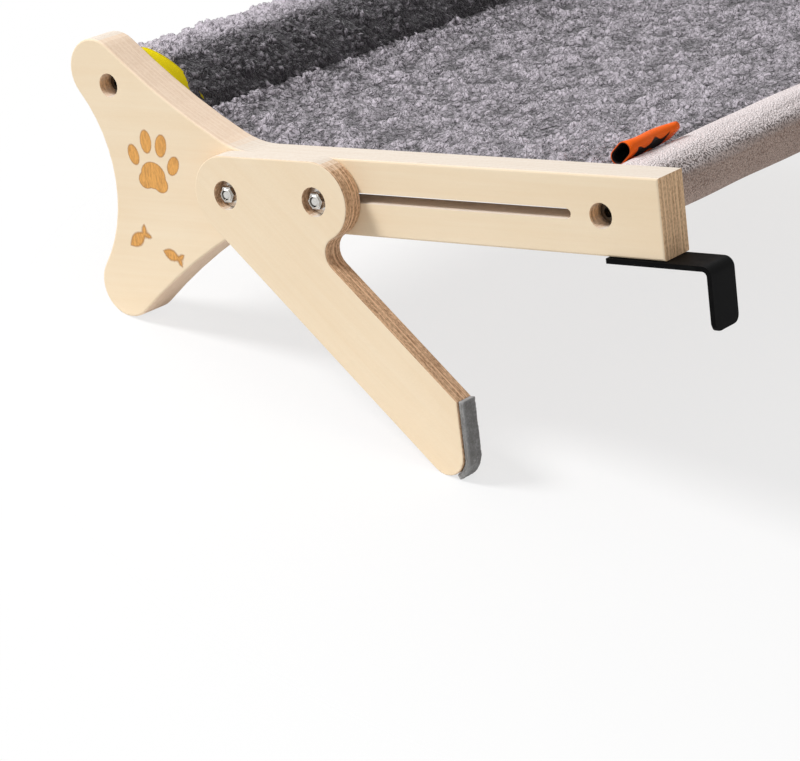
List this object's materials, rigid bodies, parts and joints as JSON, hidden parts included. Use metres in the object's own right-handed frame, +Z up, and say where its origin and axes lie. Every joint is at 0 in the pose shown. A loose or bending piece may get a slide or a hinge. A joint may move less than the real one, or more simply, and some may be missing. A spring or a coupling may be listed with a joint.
{
  "type": "cat window perch",
  "caption": "Windowsill perch: a padded fleece seat on rails between two plywood side boards, with hooks behind the sill and slotted sliding legs whose felt feet brace on the wall.",
  "frame": {"origin": "on the plane of the windowsill's top, midway between the two side boards, level with their rear ends", "axes": "+X along the side boards towards their rear ends and over the sill, +Y across the perch from the near board to the far board, +Z up"},
  "size_m": [0.4007, 0.5048, 0.2182],
  "materials": {
    "birch_plywood": "clear matt lacquer, dark edge plies",
    "zinc_plated_steel": "bright zinc",
    "black_painted_steel": "satin black powder coat",
    "grey_felt": "pressed wool felt",
    "grey_sherpa_fleece": "curly sherpa fleece",
    "taupe_short_plush": "short plush",
    "yellow_binding_tape": "woven binding tape",
    "orange_satin_ribbon": "woven satin ribbon"
  },
  "bodies": {
    "frame": {"far_edge_tape": "yellow_binding_tape", "far_front_rail_bolt": "zinc_plated_steel", "far_front_rail_plug": "birch_plywood", "far_front_rail_washer": "zinc_plated_steel", "far_hook_screw_a": "zinc_plated_steel", "far_hook_screw_b": "zinc_plated_steel", "far_rear_rail_bolt": "zinc_plated_steel", "far_rear_rail_plug": "birch_plywood", "far_rear_rail_washer": "zinc_plated_steel", "far_side_board": "birch_plywood", "far_sill_hook": "black_painted_steel", "front_rail": "zinc_plated_steel", "front_roll": "grey_sherpa_fleece", "near_edge_tape": "yellow_binding_tape", "near_front_rail_bolt": "zinc_plated_steel", "near_front_rail_plug": "birch_plywood", "near_front_rail_washer": "zinc_plated_steel", "near_hook_screw_a": "zinc_plated_steel", "near_hook_screw_b": "zinc_plated_steel", "near_rear_rail_bolt": "zinc_plated_steel", "near_rear_rail_plug": "birch_plywood", "near_rear_rail_washer": "zinc_plated_steel", "near_side_board": "birch_plywood", "near_sill_hook": "black_painted_steel", "rear_rail": "zinc_plated_steel", "rear_sleeve": "taupe_short_plush", "seat_panel": "grey_sherpa_fleece", "woven_tag": "orange_satin_ribbon"},
    "near_leg_unit": {"near_leg": "birch_plywood", "near_leg_felt_pad": "grey_felt", "near_leg_front_bolt": "zinc_plated_steel", "near_leg_front_nut": "zinc_plated_steel", "near_leg_front_washer": "zinc_plated_steel", "near_leg_rear_bolt": "zinc_plated_steel", "near_leg_rear_nut": "zinc_plated_steel", "near_leg_rear_washer": "zinc_plated_steel"},
    "far_leg_unit": {"far_leg": "birch_plywood", "far_leg_felt_pad": "grey_felt", "far_leg_front_bolt": "zinc_plated_steel", "far_leg_front_nut": "zinc_plated_steel", "far_leg_front_washer": "zinc_plated_steel", "far_leg_rear_bolt": "zinc_plated_steel", "far_leg_rear_nut": "zinc_plated_steel", "far_leg_rear_washer": "zinc_plated_steel"}
  },
  "joints": [
    {"name": "near_leg_slide", "type": "slide", "parent": "frame", "child": "near_leg_unit", "axis": [1, 0, 0], "range_m": [0, 0.148]},
    {"name": "far_leg_slide", "type": "slide", "parent": "frame", "child": "far_leg_unit", "axis": [1, 0, 0], "range_m": [0, 0.148]}
  ]
}
